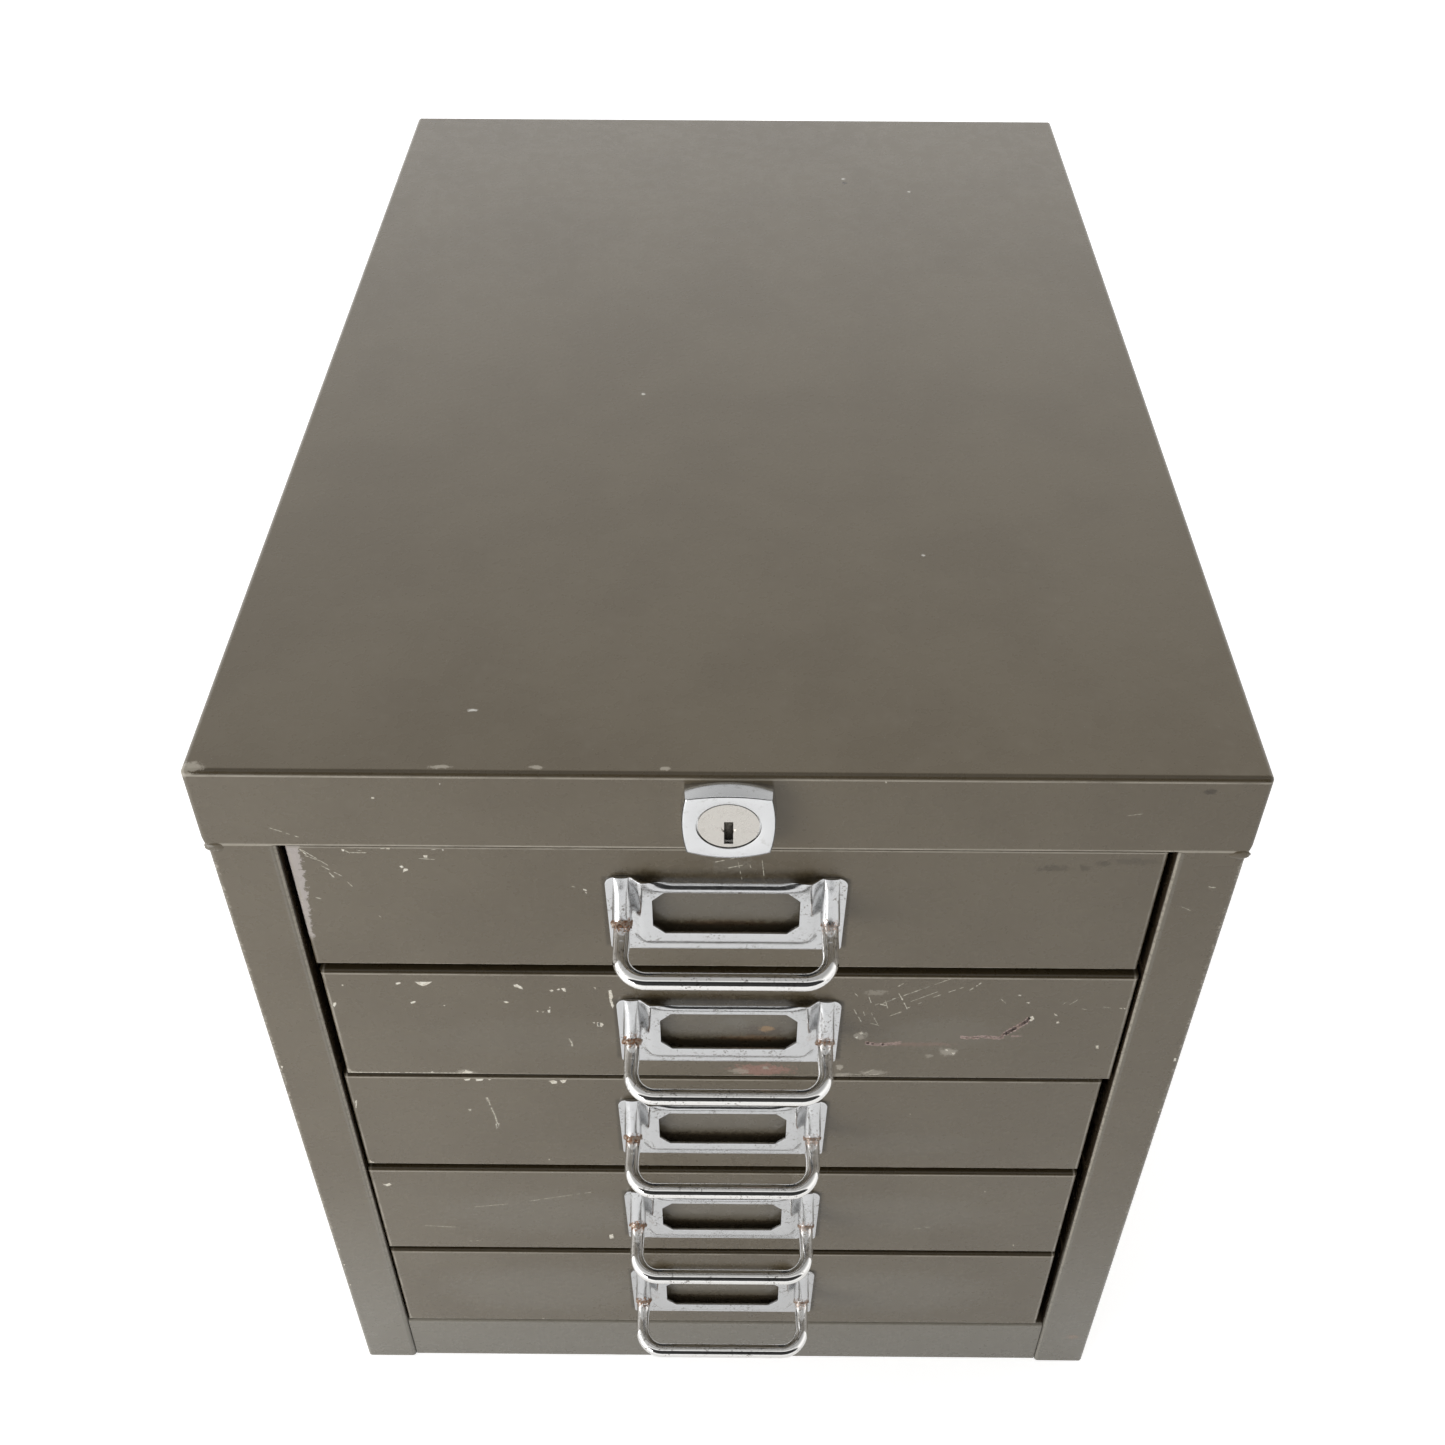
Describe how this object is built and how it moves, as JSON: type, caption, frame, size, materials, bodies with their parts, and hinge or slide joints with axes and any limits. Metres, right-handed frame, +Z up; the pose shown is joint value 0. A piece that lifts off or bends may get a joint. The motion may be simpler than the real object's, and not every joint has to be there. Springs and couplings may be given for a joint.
{
  "type": "small metal drawer cabinet",
  "caption": "Desk-top sheet-metal cabinet with a column of shallow sliding drawers, label-holder pulls with wire grips and one cam lock that bars them all",
  "frame": {"origin": "middle of the footprint between the posts' front face and the back, on the surface the cabinet stands on", "axes": "+X to the right as the drawer fronts are seen, +Y to the back, +Z up; drawers open along -Y"},
  "size_m": [0.2816, 0.4294, 0.327],
  "materials": {
    "enamel": "satin stoved enamel, olive grey, worn",
    "plate_chrome": "chromed pressed steel, slightly greyed",
    "bow_chrome": "bright chromed wire",
    "lock_chrome": "chromed die casting, satin",
    "plug_nickel": "nickelled, turned face",
    "zinc_steel": "zinc plated"
  },
  "bodies": {
    "carcass": {"top_cover": "enamel", "left_side": "enamel", "right_side": "enamel", "back_panel": "enamel", "base_pan": "enamel", "lock_housing": "lock_chrome", "lock_nut": "zinc_steel", "transfer_guide_left": "zinc_steel", "transfer_guide_right": "zinc_steel", "lock_bar_guide": "zinc_steel", "left_runner_1": "enamel", "right_runner_1": "enamel", "left_runner_2": "enamel", "right_runner_2": "enamel", "left_runner_3": "enamel", "right_runner_3": "enamel", "left_runner_4": "enamel", "right_runner_4": "enamel", "left_runner_5": "enamel", "right_runner_5": "enamel"},
    "drawer_1": {"drawer_1_front": "enamel", "drawer_1_tray": "enamel", "drawer_1_handle_plate": "plate_chrome", "drawer_1_handle_bow": "bow_chrome", "drawer_1_lock_catch": "zinc_steel"},
    "drawer_2": {"drawer_2_front": "enamel", "drawer_2_tray": "enamel", "drawer_2_handle_plate": "plate_chrome", "drawer_2_handle_bow": "bow_chrome", "drawer_2_lock_catch": "zinc_steel"},
    "drawer_3": {"drawer_3_front": "enamel", "drawer_3_tray": "enamel", "drawer_3_handle_plate": "plate_chrome", "drawer_3_handle_bow": "bow_chrome", "drawer_3_lock_catch": "zinc_steel"},
    "drawer_4": {"drawer_4_front": "enamel", "drawer_4_tray": "enamel", "drawer_4_handle_plate": "plate_chrome", "drawer_4_handle_bow": "bow_chrome", "drawer_4_lock_catch": "zinc_steel"},
    "drawer_5": {"drawer_5_front": "enamel", "drawer_5_tray": "enamel", "drawer_5_handle_plate": "plate_chrome", "drawer_5_handle_bow": "bow_chrome", "drawer_5_lock_catch": "zinc_steel"},
    "plug": {"lock_plug": "plug_nickel", "lock_cam": "zinc_steel"},
    "bar": {"transfer_bar": "zinc_steel", "lock_bar": "zinc_steel"}
  },
  "joints": [
    {"name": "drawer_1_slide", "type": "slide", "parent": "carcass", "child": "drawer_1", "axis": [0, -1, 0], "range_m": [-0.0005, 0.292]},
    {"name": "drawer_2_slide", "type": "slide", "parent": "carcass", "child": "drawer_2", "axis": [0, -1, 0], "range_m": [-0.0014, 0.292]},
    {"name": "drawer_3_slide", "type": "slide", "parent": "carcass", "child": "drawer_3", "axis": [0, -1, 0], "range_m": [-0.0004, 0.292]},
    {"name": "drawer_4_slide", "type": "slide", "parent": "carcass", "child": "drawer_4", "axis": [0, -1, 0], "range_m": [-0.001, 0.292]},
    {"name": "drawer_5_slide", "type": "slide", "parent": "carcass", "child": "drawer_5", "axis": [0, -1, 0], "range_m": [-0.0011, 0.292]},
    {"name": "lock_turn", "type": "hinge", "parent": "carcass", "child": "plug", "pos_m": [0.0005, -0.2032, 0.3129], "axis": [0, -1, 0], "range_deg": [0, 90]},
    {"name": "lock_bar_slide", "type": "slide", "parent": "carcass", "child": "bar", "axis": [-1, 0, 0], "range_m": [0, 0.00537]}
  ],
  "couplings": [
    {"joint": "lock_turn", "follows": "lock_bar_slide", "rad_per_m": 292.3}
  ]
}
